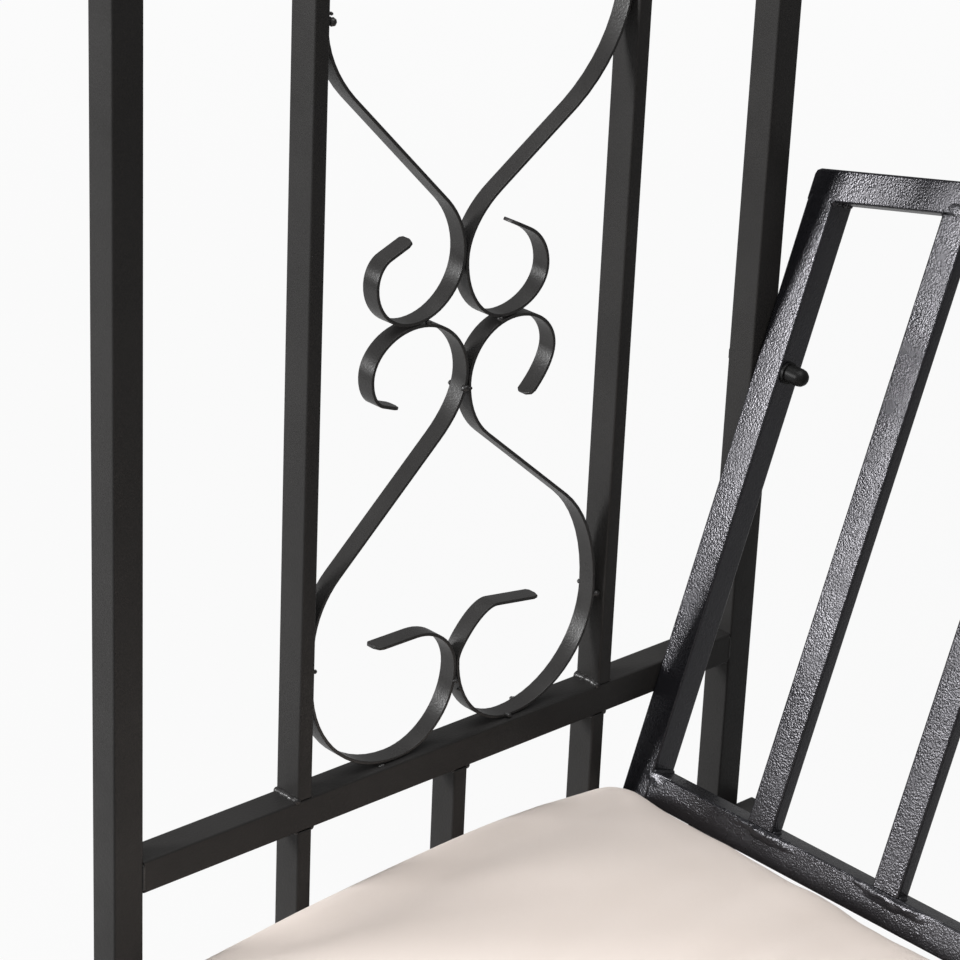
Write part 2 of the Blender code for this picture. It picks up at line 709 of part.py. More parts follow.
bm = bmesh.new()
skins = {}
for top in (True, False):
    for i in range(cells_x + 1):
        for j in range(cells_y + 1):
            on_edge = i in (0, cells_x) or j in (0, cells_y)
            if on_edge and not top:
                skins[top, i, j] = skins[True, i, j]
                continue
            point = cushion_point(2 * i / cells_x - 1, 2 * j / cells_y - 1, top)
            skins[top, i, j] = bm.verts.new(point)
    for i in range(cells_x):
        for j in range(cells_y):
            corners = ((i, j), (i + 1, j), (i + 1, j + 1), (i, j + 1))
            bm.faces.new([skins[top, a, b] for a, b in corners])
cushion_place = (0, (cushion_front + cushion_rear) / 2, cushion_middle)
add_node("seat_cushion", bm, cream_fabric, cushion_place)

# Middle of the depth: from the front of the seat frame to the rear of the back's crown, which ends
# where the tube's rounded edge starts
crown_rear = back_foot + back_up * (crown_top - corner_radius) + back_normal * post_size
bench.location = (0, -(seat_front + crown_rear.y) / 2, 0)
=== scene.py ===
"""Looks of the garden arch bench: coats, weld beads, small fasteners, the filled cushion, light, camera.

Metres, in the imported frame: +Z up, the sitter faces -Y, X runs across the bench, the ground is at zero.
"""

import json
import math

import bmesh
import bpy
from mathutils import Matrix, Vector, noise

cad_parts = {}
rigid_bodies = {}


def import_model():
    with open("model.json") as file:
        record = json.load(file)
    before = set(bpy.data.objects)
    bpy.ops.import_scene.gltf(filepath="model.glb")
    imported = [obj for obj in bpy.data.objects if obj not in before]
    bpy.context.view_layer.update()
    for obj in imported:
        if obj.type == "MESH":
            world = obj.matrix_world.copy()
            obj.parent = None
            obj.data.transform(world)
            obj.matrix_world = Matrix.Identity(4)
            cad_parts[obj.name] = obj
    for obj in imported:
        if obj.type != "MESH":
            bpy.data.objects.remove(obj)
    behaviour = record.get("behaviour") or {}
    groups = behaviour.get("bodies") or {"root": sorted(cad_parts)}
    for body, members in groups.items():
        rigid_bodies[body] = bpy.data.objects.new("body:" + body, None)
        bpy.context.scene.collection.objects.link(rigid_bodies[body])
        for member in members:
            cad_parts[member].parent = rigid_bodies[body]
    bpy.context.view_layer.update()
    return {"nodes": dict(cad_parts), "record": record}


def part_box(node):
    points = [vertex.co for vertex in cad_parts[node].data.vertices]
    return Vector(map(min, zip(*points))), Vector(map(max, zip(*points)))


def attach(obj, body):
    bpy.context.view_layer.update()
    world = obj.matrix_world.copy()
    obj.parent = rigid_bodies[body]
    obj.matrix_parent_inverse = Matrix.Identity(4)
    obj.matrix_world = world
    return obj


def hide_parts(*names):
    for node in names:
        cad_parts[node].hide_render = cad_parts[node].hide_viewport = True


for old_object in list(bpy.data.objects):
    bpy.data.objects.remove(old_object, do_unlink=True)
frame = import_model()
nodes = frame["nodes"]
scene = bpy.context.scene
side_signs = {"left": -1, "right": 1}


# Node helpers
def add_node(tree, kind, inputs=None, **settings):
    """Adds a shader node, with its settings and the values of its unlinked sockets."""
    made = tree.nodes.new(kind)
    for key, value in settings.items():
        setattr(made, key, value)
    for key, value in (inputs or {}).items():
        made.inputs[key].default_value = value
    return made


def new_material(name, **values):
    """A material, its node tree and its Principled BSDF with plain socket values."""
    material = bpy.data.materials.new(name)
    material.use_nodes = True
    shader = material.node_tree.nodes["Principled BSDF"]
    for key, value in values.items():
        shader.inputs[key.replace("_", " ").title().replace("Ior", "IOR")].default_value = value
    return material, material.node_tree, shader


def noise_at(tree, place, scale, detail=2.0, roughness=0.5):
    """Value of a noise texture with features of about one over scale, in metres."""
    texture = add_node(tree, "ShaderNodeTexNoise", {"Scale": scale, "Detail": detail, "Roughness": roughness})
    tree.links.new(place, texture.inputs["Vector"])
    return texture.outputs[0]


def remap(tree, value, low, high, from_low=0.3, from_high=0.7):
    """Value stretched to run from low to high."""
    made = add_node(tree, "ShaderNodeMapRange", {
        "From Min": from_low, "From Max": from_high, "To Min": low, "To Max": high})
    tree.links.new(value, made.inputs["Value"])
    return made.outputs["Result"]


def blend_colours(tree, factor, low, high):
    """Colour between two colours."""
    made = add_node(tree, "ShaderNodeMix", data_type="RGBA")
    colour_inputs = [socket for socket in made.inputs if socket.type == "RGBA"]
    colour_inputs[0].default_value = (*low, 1)
    colour_inputs[1].default_value = (*high, 1)
    tree.links.new(factor, made.inputs["Factor"])
    return next(socket for socket in made.outputs if socket.type == "RGBA")


def bump_of(tree, height, distance, strength=1.0, under=None):
    """Normal of a bump map, on top of another one if it is given."""
    made = add_node(tree, "ShaderNodeBump", {"Distance": distance, "Strength": strength})
    tree.links.new(height, made.inputs["Height"])
    if under:
        tree.links.new(under, made.inputs["Normal"])
    return made.outputs["Normal"]


# Coats: features per metre of the clouds and smears, how far the roughness strays, and the peel's grit
coat_clouds = 14
coat_smears = 45
smoother_by = 0.05
rougher_by = 0.07
peel_roughness = 0.4
grit_fineness = 3.2
grit_share = 0.06


def powder_coat(name, dark, light, roughness, peel_size, peel_height, specular_ior_level, tint=(1, 1, 1)):
    """Black powder coat: an orange-peel skin with fine grit, a little cloudy in colour and gloss."""
    material, tree, shader = new_material(name)
    shader.inputs["Specular IOR Level"].default_value = specular_ior_level
    shader.inputs["Specular Tint"].default_value = (*tint, 1)
    place = add_node(tree, "ShaderNodeTexCoord").outputs["Object"]
    cloud = remap(tree, noise_at(tree, place, coat_clouds, 3), 0, 1)
    tree.links.new(blend_colours(tree, cloud, dark, light), shader.inputs["Base Color"])
    smear = noise_at(tree, place, coat_smears, 3)
    smeared = remap(tree, smear, roughness - smoother_by, roughness + rougher_by)
    tree.links.new(smeared, shader.inputs["Roughness"])
    grit = bump_of(tree, noise_at(tree, place, grit_fineness / peel_size, 1), grit_share * peel_height)
    peel = bump_of(tree, noise_at(tree, place, 1 / peel_size, 1, peel_roughness), peel_height, under=grit)
    tree.links.new(peel, shader.inputs["Normal"])
    return material


frame_black = (0.0235, 0.0226, 0.0222), (0.0290, 0.0280, 0.0275)
frame_coat = powder_coat(
    "frame_powder_coat", *frame_black, roughness=0.42, peel_size=0.0014, peel_height=0.00011,
    specular_ior_level=0.16)
scroll_coat = powder_coat(
    "scroll_powder_coat", *frame_black, roughness=0.29, peel_size=0.0012, peel_height=0.00008,
    specular_ior_level=0.30)
back_coat = powder_coat(
    "back_powder_coat", (0.0100, 0.0100, 0.0118), (0.0132, 0.0132, 0.0155), roughness=0.24,
    peel_size=0.00115, peel_height=0.00022, specular_ior_level=0.55, tint=(0.95, 0.935, 1.0))
bead_coat = powder_coat(
    "bead_powder_coat", (0.018, 0.017, 0.017), (0.024, 0.023, 0.023), roughness=0.34,
    peel_size=0.0010, peel_height=0.00008, specular_ior_level=0.45)
fixing_coat = powder_coat(
    "black_fixing_coat", (0.0070, 0.0070, 0.0070), (0.0100, 0.0100, 0.0100), roughness=0.40,
    peel_size=0.0022, peel_height=0.00002, specular_ior_level=0.18)
plug_coat = powder_coat(
    "black_plug_plastic", (0.0080, 0.0080, 0.0080), (0.0110, 0.0110, 0.0110), roughness=0.50,
    peel_size=0.0009, peel_height=0.00003, specular_ior_level=0.35)

# Cloth: features per metre of its clouds and slubs, their heights, and a wave's length at a scale of one
cloth_clouds = 7
cloth_slubs = 260
slub_height = 0.00008
weave_height = 0.00010
wave_length = 0.314


def cushion_cloth(name, colour, faded, thread):
    """Plain woven polyester: two sets of threads, slubs, a soft sheen and faint clouds of colour."""
    material, tree, shader = new_material(name, sheen_weight=0.25, sheen_roughness=0.45, roughness=0.82)
    place = add_node(tree, "ShaderNodeTexCoord").outputs["Object"]
    cloud = remap(tree, noise_at(tree, place, cloth_clouds, 4), 0, 1)
    tree.links.new(blend_colours(tree, cloud, colour, faded), shader.inputs["Base Color"])
    heights = []
    for direction in ("X", "Y"):
        wave = add_node(tree, "ShaderNodeTexWave", {
            "Scale": wave_length / thread, "Distortion": 0.6, "Detail Scale": 1.5}, bands_direction=direction)
        tree.links.new(place, wave.inputs["Vector"])
        heights.append(wave.outputs["Fac"])
    weave = add_node(tree, "ShaderNodeMath", operation="MULTIPLY")
    tree.links.new(heights[0], weave.inputs[0])
    tree.links.new(heights[1], weave.inputs[1])
    slub = bump_of(tree, noise_at(tree, place, cloth_slubs, 3), slub_height)
    tree.links.new(bump_of(tree, weave.outputs[0], weave_height, under=slub), shader.inputs["Normal"])
    return material


cloth = cushion_cloth("cream_polyester", (0.755, 0.662, 0.600), (0.79, 0.702, 0.645), thread=0.0007)
seam_cloth = cushion_cloth("cream_seam_tape", (0.70, 0.62, 0.56), (0.73, 0.65, 0.59), thread=0.0005)

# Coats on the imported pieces, whose edges get a small rounding. The scrolls' coat is glossier
coats = {
    "frame_coat": frame_coat,
    "back_coat": back_coat,
    "black_fixing": fixing_coat,
    "cushion_cover": cloth,
}
slots = {row["node"]: row["material_slot"] for row in frame["record"]["subparts"]}
edge_rounding = {"frame_coat": 0.0004, "back_coat": 0.0004, "black_fixing": 0.0003}
rounded_from = math.radians(50)
join_distance = 0.00001
for name, piece in nodes.items():
    slot_name = slots[name]
    mesh = piece.data
    mesh.materials.clear()
    mesh.materials.append(scroll_coat if name.endswith("_scroll") else coats[slot_name])
    if slot_name == "cushion_cover":
        continue
    for layer in ("custom_normal", "sharp_edge", "sharp_face"):
        if layer in mesh.attributes:
            mesh.attributes.remove(mesh.attributes[layer])
    mesh.shade_smooth()
    weld = piece.modifiers.new("join", "WELD")
    weld.merge_threshold = join_distance
    rounding = piece.modifiers.new("edges", "BEVEL")
    rounding.width = edge_rounding[slot_name]
    rounding.segments = 2
    rounding.limit_method = "ANGLE"
    rounding.angle_limit = rounded_from
    normals = piece.modifiers.new("normals", "WEIGHTED_NORMAL")
    normals.keep_sharp = True


def finish_piece(name, bm, material):
    """Turns a bmesh into a piece of the bench that rides on its one body."""
    bmesh.ops.recalc_face_normals(bm, faces=bm.faces)
    mesh = bpy.data.meshes.new(name)
    bm.to_mesh(mesh)
    bm.free()
    mesh.shade_smooth()
    mesh.materials.append(material)
    piece = bpy.data.objects.new(name, mesh)
    scene.collection.objects.link(piece)
    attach(piece, "root")
    return piece


# Weld beads: their ripples along the run, how far they wander off it, and their lumps
bead_sides = 10
bead_step = 0.0007
bead_end_fullness = 0.02
bead_end_share = 0.98
ripple_length = 0.0016
ripple_share = 0.10
wander_fineness = 180
wander_share = 0.25
rough_fineness = 420
rough_share = 0.28
shortest_run = 0.00001
noise.seed_set(1)  # Without it, noise_vector takes its seed from the clock


def bead(bm, start, end, radius, seed):
    """A rippled weld bead from start to end, with lumpy rounded ends."""
    start, end = Vector(start), Vector(end)
    run = end - start
    length = run.length
    along = run.normalized() if length > shortest_run else Vector((0, 0, 1))
    across = along.orthogonal().normalized()
    other = along.cross(across)
    steps = max(6, round((length + 2 * radius) / bead_step))
    rings = []
    for k in range(steps + 1):
        place = -radius + (length + 2 * radius) * k / steps
        outside = max(-place, place - length, 0)
        swell = math.sqrt(max(bead_end_fullness, 1 - (outside / radius) ** 2))
        ripple = 1 + ripple_share * math.sin(place / ripple_length * 2 * math.pi + seed)
        wander = noise.noise_vector(Vector((place * wander_fineness, seed * 3.1, 0.5)))
        wander = wander * radius * wander_share
        reach = min(max(place, -radius * bead_end_share), length + radius * bead_end_share)
        centre = start + along * reach + wander
        ring = []
        for j in range(bead_sides):
            angle = 2 * math.pi * j / bead_sides
            direction = across * math.cos(angle) + other * math.sin(angle)
            spot = centre * rough_fineness + direction * 1.3 + Vector((seed, seed, seed))
            rough = 1 + rough_share * noise.noise(spot)
            ring.append(bm.verts.new(centre + direction * radius * swell * ripple * rough))
        rings.append(ring)
    for ring, after in zip(rings, rings[1:]):
        for j in range(bead_sides):
            bm.faces.new((ring[j], ring[(j + 1) % bead_sides], after[(j + 1) % bead_sides], after[j]))
    bm.faces.new(rings[0])
    bm.faces.new(rings[-1])


# Lumps: the fineness of their two noises, on a ball of radius one, and the finer one's share
lump_broad, lump_fine, lump_fine_share = 1.9, 5.3, 0.4


def lump(bm, place, along, across, radii, seed, roughness):
    """A hand-ground blob of weld: an uneven ellipsoid with its radii along, across and out."""
    along, across = Vector(along).normalized(), Vector(across).normalized()
    out = along.cross(across)
    rings_count, sides = 10, 16
    rows = []
    for i in range(1, rings_count):
        polar = math.pi * i / rings_count
        row = []
        for j in range(sides):
            turn = 2 * math.pi * j / sides
            unit = (along * math.cos(polar) + across * math.sin(polar) * math.cos(turn)
                    + out * math.sin(polar) * math.sin(turn))
            swell = 1 + roughness * noise.noise(unit * lump_broad + Vector((seed * 2.3, seed, 0.7)))
            swell += roughness * lump_fine_share * noise.noise(unit * lump_fine + Vector((seed, 4.1, seed)))
            offset = Vector((
                unit.dot(along) * radii[0], unit.dot(across) * radii[1], unit.dot(out) * radii[2]))
            row.append(bm.verts.new(
                Vector(place) + (along * offset.x + across * offset.y + out * offset.z) * swell))
        rows.append(row)
    poles = [bm.verts.new(Vector(place) + along * radii[0] * sign) for sign in (1, -1)]
    for row, after in zip(rows, rows[1:]):
        for j in range(sides):
            bm.faces.new((row[j], row[(j + 1) % sides], after[(j + 1) % sides], after[j]))
    for pole, row in zip(poles, (rows[0], rows[-1])):
        for j in range(sides):
            bm.faces.new((pole, row[j], row[(j + 1) % sides]))


# Side panel beads: each bar's foot, the rails' ends, and the tacks of the scrolls. A tack is a place
# (y, z), a radius, and the edge of the strip that it sits on: 1 for the bench's side, -1 for the outside
strip_half = 0.006
tube_edge = 0.003
bead_inset = 0.0015
scroll_tacks = (
    (-0.0878, 0.5268, 0.0017, 1), (-0.0646, 0.5290, 0.0014, -1), (-0.0313, 0.5691, 0.0009, -1),
    (-0.0283, 0.5654, 0.0013, -1), (-0.0320, 0.5625, 0.0010, -1), (-0.0325, 0.5654, 0.0014, 1),
    (-0.0290, 0.5590, 0.0009, 1), (0.0121, 0.5287, 0.0019, 1), (0.0272, 0.5304, 0.0014, -1),
    (0.0821, 0.5895, 0.0018, 1), (0.0799, 0.5938, 0.0014, -1), (-0.0342, 0.7509, 0.0019, 1),
    (-0.0304, 0.7501, 0.0010, 1), (-0.0336, 0.7503, 0.0015, -1), (-0.1412, 0.6050, 0.0012, 1),
    (-0.1402, 0.9800, 0.0024, 1), (-0.1406, 0.9846, 0.0009, 1), (-0.0640, 0.7971, 0.0014, 1),
    (-0.0090, 0.7871, 0.0013, 1), (0.0830, 0.9790, 0.0020, 1), (-0.0650, 1.0555, 0.0018, 1),
    (0.0300, 1.0555, 0.0018, 1),
)
for side_name, side in side_signs.items():
    bm = bmesh.new()
    low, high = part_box(side_name + "_armrest_rail")
    upper_low, upper_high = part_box(side_name + "_upper_rail")
    ground_low, ground_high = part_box(side_name + "_ground_rail")
    panel_x = (low.x + high.x) / 2
    half_bead = (high.x - low.x) / 2 - bead_inset
    seed = 1.0 + (side + 1) * 20
    for bar in ("front_inner_bar", "rear_inner_bar"):
        bar_low, bar_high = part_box(side_name + "_" + bar)
        for y, z, radius in (
            (bar_low.y - 0.0002, high.z + 0.0002, 0.0024),
            (bar_high.y + 0.0002, high.z + 0.0003, 0.0012),
            (bar_low.y - 0.0002, upper_low.z - 0.0004, 0.0018),
            (bar_high.y + 0.0004, upper_low.z - 0.0006, 0.0022),
        ):
            bead(bm, (panel_x - half_bead, y, z), (panel_x + half_bead, y, z), radius, seed)
            seed += 1
    for bar in ("lower_front_bar", "lower_middle_bar", "lower_rear_bar"):
        bar_low, bar_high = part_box(side_name + "_" + bar)
        for y, z, radius in (
            (bar_high.y + 0.0003, low.z - 0.0004, 0.0017),
            (bar_low.y - 0.0002, low.z - 0.0003, 0.0012),
            (bar_low.y - 0.0004, ground_high.z + 0.0006, 0.0022),
            (bar_high.y + 0.0002, ground_high.z + 0.0003, 0.0012),
        ):
            bead(bm, (panel_x - half_bead, y, z), (panel_x + half_bead, y, z), radius, seed)
            seed += 1
    for rail_low, rail_high in ((low, high), (upper_low, upper_high), (ground_low, ground_high)):
        for y in (rail_low.y - 0.0002, rail_high.y + 0.0002):
            for x in (rail_low.x + 0.0004, rail_high.x - 0.0004):
                bead(bm, (x, y, rail_low.z + tube_edge), (x, y, rail_high.z - tube_edge), 0.0009, seed)
                seed += 1
            under_start = (rail_low.x + tube_edge, y, rail_low.z)
            under_end = (rail_high.x - tube_edge, y, rail_low.z)
            bead(bm, under_start, under_end, 0.0017, seed)
            seed += 1
    for y, z, radius, edge in scroll_tacks:
        tip = Vector((panel_x - side * edge * strip_half, y, z))
        bead(bm, tip - Vector((0.0005, 0, 0)), tip + Vector((0.0005, 0.0006, 0)), radius, seed)
        seed += 1
    finish_piece(side_name + "_panel_welds", bm, bead_coat)

# Beads of the seat back, in the plane of its front face: x across, up its slope, and out of the face
foot_low, foot_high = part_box("back_bottom_rail")
lean_back, lean_up = 0.3361, 0.9418
lean = math.atan2(lean_back, lean_up)
face_up = Vector((0, math.sin(lean), math.cos(lean)))
face_out = Vector((0, -math.cos(lean), math.sin(lean)))
rail_size = 0.020
foot_centre = (foot_low + foot_high) / 2
face_origin = Vector((0, foot_centre.y, foot_centre.z)) + (face_out - face_up) * rail_size / 2


def on_face(x, up, out):
    """World place of a point on the seat back's front face."""
    return face_origin + Vector((x, 0, 0)) + face_up * up + face_out * out


def face_lump(bm, x, up, radii, proud, seed, roughness):
    """A lump on the back's front face: its radii across, up and out, and how far it stands proud."""
    lump(bm, on_face(x, up, proud - radii[2]), (1, 0, 0), face_up, radii, seed, roughness)


def seam_skin(bm, place, across, up, half_across, half_up, seed):
    """A weld ground nearly flush over a seam: a thin slab whose borders lie below the surface."""
    out = across.cross(up).normalized()
    cells_across, cells_up, side_flatness = 20, 16, 8
    proud, sunk, thickness = 0.00020, 0.0007, 0.0006
    uneven_share, fineness = 0.25, 1.7
    grids = []
    for top in (True, False):
        grid = []
        for i in range(cells_across + 1):
            row = []
            for j in range(cells_up + 1):
                u, v = 2 * i / cells_across - 1, 2 * j / cells_up - 1
                height = -sunk - thickness
                if top:
                    ground = 1 + uneven_share * noise.noise(Vector((u * fineness, v * fineness, seed)))
                    up_fall, across_fall = math.cos(math.pi / 2 * v), 1 - u ** side_flatness
                    height = -sunk + (proud + sunk) * ground * up_fall * across_fall
                point = place + across * u * half_across + up * v * half_up + out * height
                row.append(bm.verts.new(point))
            grid.append(row)
        grids.append(grid)
    close_grids(bm, grids, cells_across, cells_up)


def close_grids(bm, grids, cells_a, cells_b):
    """Faces of two grids of points that lie over each other, and the rim between them."""
    rims = []
    for grid in grids:
        for i in range(cells_a):
            for j in range(cells_b):
                bm.faces.new((grid[i][j], grid[i + 1][j], grid[i + 1][j + 1], grid[i][j + 1]))
        rims.append([grid[i][0] for i in range(cells_a)]
                    + [grid[cells_a][j] for j in range(cells_b)]
                    + [grid[i][cells_b] for i in range(cells_a, 0, -1)]
                    + [grid[0][j] for j in range(cells_b, 0, -1)])
    for k in range(len(rims[0])):
        after = (k + 1) % len(rims[0])
        bm.faces.new((rims[0][k], rims[0][after], rims[1][after], rims[1][k]))


# Foot welds: how they thin out to the sides, how low and how blunt their ridge is, and two noises, each
# with its fineness across, its fineness up and its share
side_thinning, ridge_lowness, ridge_bluntness = 1.2, 1.7, 0.8
foot_noises = ((95, 170, 0.55), (330, 420, 0.24))


def foot_skin(bm, centre, reach, ups, proud, seed):
    """A foot weld ground smooth: a ridge under the seam that thins out over the rail to both sides."""
    cells_across, cells_up, sunk = 48, 18, 0.0006
    grids = []
    for top in (True, False):
        grid = []
        for i in range(cells_across + 1):
            row = []
            for j in range(cells_up + 1):
                u, v = 2 * i / cells_across - 1, j / cells_up
                x, up = centre + u * reach, ups[0] + v * (ups[1] - ups[0])
                height = -2 * sunk
                if top:
                    ridge = math.sin(math.pi * v ** ridge_lowness) ** ridge_bluntness
                    spread = (1 - u * u) ** side_thinning * ridge
                    ground = 1
                    for across_fineness, up_fineness, share in foot_noises:
                        spot = Vector((x * across_fineness, up * up_fineness, seed))
                        ground += share * noise.noise(spot)
                    height = -sunk + (proud + sunk) * spread * ground
                row.append(bm.verts.new(on_face(x, up, height)))
            grid.append(row)
        grids.append(grid)
    close_grids(bm, grids, cells_across, cells_up)


# A slat's foot weld. Nubs: offsets from the slat's middle, heights, radii across and up, proudness.
# Skin: half its width, its heights and its proudness, the first and last as a least and what fullness adds
foot_lumps = (
    (-0.0066, 0.0186, 0.0034, 0.0017, 0.0009), (0.0006, 0.0180, 0.0030, 0.0020, 0.0012),
    (0.0068, 0.0168, 0.0028, 0.0024, 0.0012),
)
foot_width = (0.028, 0.012)
foot_offset = 0.0045
foot_ups = (0.0095, 0.0203)
foot_proud = (0.0004, 0.0008)
lump_depth = 0.0022

# Beads that run back from the face, beside each slat's foot and in each corner: two depths and a radius
slat_bead = (-0.0025, -0.0085, 0.0013)
corner_bead = (-0.0015, -0.0185, 0.0017)

# A slat's top weld: each lump's side of the slat, offsets across and up, radii, proudness and roughness
top_lumps = (
    (0, 0.0, 0.0015, (0.0115, 0.0062, 0.0016), 0.0004, 0.10),
    (-1, 0.0002, -0.0020, (0.0012, 0.0034, 0.0022), 0.0004, 0.4),
    (1, 0.0, -0.0004, (0.0011, 0.0016, 0.0016), 0.0002, 0.3),
)

# The back's corners: the skin beside each stile's foot, and the nubs under the top rail, each a depth and
# a size
corner_inset, corner_half_width, corner_ups, corner_proud = 0.0020, 0.0130, (0.0060, 0.0208), 0.0004
corner_nubs = ((-0.0012, 0.0019), (-0.0060, 0.0014), (-0.0120, 0.0015), (-0.0175, 0.0014))
slat_names = sorted(
    (name for name in nodes if name.startswith("back_slat_")), key=lambda name: int(name.rsplit("_", 1)[1]))
top_low, top_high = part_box("back_top_rail")
back_half = top_high.x
stile_seam_up = 0.3885
seam_slope = math.tan(math.radians(10.35))
seam_half_across = 0.0098
seam_half_up = 0.0085
bm = bmesh.new()
seed = 70.0
for index, name in enumerate(slat_names):
    slat_low, slat_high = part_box(name)
    middle = (slat_low.x + slat_high.x) / 2
    half = (slat_high.x - slat_low.x) / 2
    fullness = 1.0 if index == 1 else 0.45 + 0.45 * abs(noise.noise(Vector((index * 2.3, 5.3, 0.4))))
    reach = foot_width[0] + foot_width[1] * fullness
    foot_skin(bm, middle + foot_offset, reach, foot_ups, foot_proud[0] + foot_proud[1] * fullness, seed)
    seed += 1
    for offset, up, reach, rise, proud in foot_lumps:
        face_lump(bm, middle + offset, up, (reach, rise, lump_depth), proud * fullness, seed, 0.34)
        seed += 1
    for x in (middle - half, middle + half):
        bead(bm, on_face(x, rail_size, slat_bead[0]), on_face(x, rail_size, slat_bead[1]), slat_bead[2], seed)
        seed += 1
    slat_top = (slat_high.z - face_origin.z) / face_up.z
    for edge, offset, up, radii, proud, roughness in top_lumps:
        face_lump(bm, middle + edge * half + offset, slat_top + up, radii, proud, seed, roughness)
        seed += 1
for side in side_signs.values():
    stile = side * (back_half - rail_size / 2)
    inner = side * (back_half - rail_size)
    outer = side * back_half
    along = Vector((1, 0, 0)) - face_up * side * seam_slope
    for out_depth, turn in ((0.0, 1), (-rail_size, -1)):
        place = on_face(stile, stile_seam_up, out_depth)
        seam_skin(bm, place, along * turn, face_up, seam_half_across, seam_half_up, seed)
        seed += 1
    outer_place = on_face(outer, stile_seam_up - rail_size / 2 * seam_slope, -rail_size / 2)
    seam_skin(bm, outer_place, face_out * -side, face_up, seam_half_across, seam_half_up, seed)
    corner_up = stile_seam_up + rail_size / 2 * seam_slope
    for out, reach in corner_nubs:
        seed += 1
        radii = (reach, reach * 1.2, reach * 1.6)
        lump(bm, on_face(inner, corner_up, out), (1, 0, 0), face_up, radii, seed, 0.35)
    seed += 1
    foot_skin(bm, inner - side * corner_inset, corner_half_width, corner_ups, corner_proud, seed)
    first, last = (on_face(inner, rail_size, depth) for depth in corner_bead[:2])
    bead(bm, first, last, corner_bead[2], seed)
    seed += 1
finish_piece("back_frame_welds", bm, back_coat)

# Seat frame and arch beads: rails to side rails, and rungs to the arch tubes. A rung's end is a ring of
# points, and its rim is the outermost of these, whose long sides are welded and whose corners are not
end_inset = 0.002
end_depth = 0.0005
rim_share = 0.985
shortest_side = 0.004
bm = bmesh.new()
for rail_name in ("seat_front_rail", "seat_rear_rail"):
    rail_low, rail_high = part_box(rail_name)
    for x in (rail_low.x, rail_high.x):
        for z in (rail_low.z, rail_high.z):
            bead(bm, (x, rail_low.y + end_inset, z), (x, rail_high.y - end_inset, z), 0.0011, seed)
            seed += 1
        inner_y = rail_high.y if rail_name == "seat_front_rail" else rail_low.y
        bead(bm, (x, inner_y, rail_low.z + end_inset), (x, inner_y, rail_high.z - end_inset), 0.0016, seed)
        seed += 1
finish_piece("seat_frame_welds", bm, bead_coat)
bm = bmesh.new()
rung_names = sorted(name for name in nodes if "_rung_" in name)
for name in rung_names:
    rung_low, rung_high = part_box(name)
    corners = [vertex.co for vertex in nodes[name].data.vertices]
    for y in (rung_low.y, rung_high.y):
        ring = [corner for corner in corners if abs(corner.y - y) < end_depth]
        middle = sum(ring, Vector()) / len(ring)
        reach = max((corner - middle).length for corner in ring)
        rim = [corner for corner in ring if (corner - middle).length > reach * rim_share]
        rim.sort(key=lambda corner: math.atan2(corner.z - middle.z, corner.x - middle.x))
        for first, second in zip(rim, rim[1:] + rim[:1]):
            if (second - first).length > shortest_side:
                bead(bm, first.lerp(second, 0.1), first.lerp(second, 0.9), 0.0013, seed)
                seed += 1
finish_piece("arch_rung_welds", bm, bead_coat)


# Small fasteners and plugs
round_sides = 24
crisp_from = math.radians(35)


def turned(bm, place, direction, profile, hexagonal=()):
    """Closed body turned about a direction from (radius, height) pairs that start and end on the axis."""
    place, direction = Vector(place), Vector(direction).normalized()
    across = direction.orthogonal().normalized()
    other = direction.cross(across)
    rings = []
    for index, (radius, height) in enumerate(profile):
        centre = place + direction * height
        if radius == 0:
            rings.append([bm.verts.new(centre)])
            continue
        ring = []
        for k in range(round_sides):
            turn = 2 * math.pi * k / round_sides
            reach = radius
            if index in hexagonal:
                reach = radius / math.cos((turn + math.pi / 6) % (math.pi / 3) - math.pi / 6)
            ring.append(bm.verts.new(centre + (across * math.cos(turn) + other * math.sin(turn)) * reach))
        rings.append(ring)
    for low_ring, high_ring in zip(rings, rings[1:]):
        for k in range(round_sides):
            after = (k + 1) % round_sides
            if len(low_ring) == 1:
                bm.faces.new((low_ring[0], high_ring[after], high_ring[k]))
            elif len(high_ring) == 1:
                bm.faces.new((low_ring[k], low_ring[after], high_ring[0]))
            else:
                bm.faces.new((low_ring[k], low_ring[after], high_ring[after], high_ring[k]))


def sharp_fixing(name, bm, material):
    """Finishes a fastener with crisp corners."""
    piece = finish_piece(name, bm, material)
    piece.data.set_sharp_from_angle(angle=crisp_from)


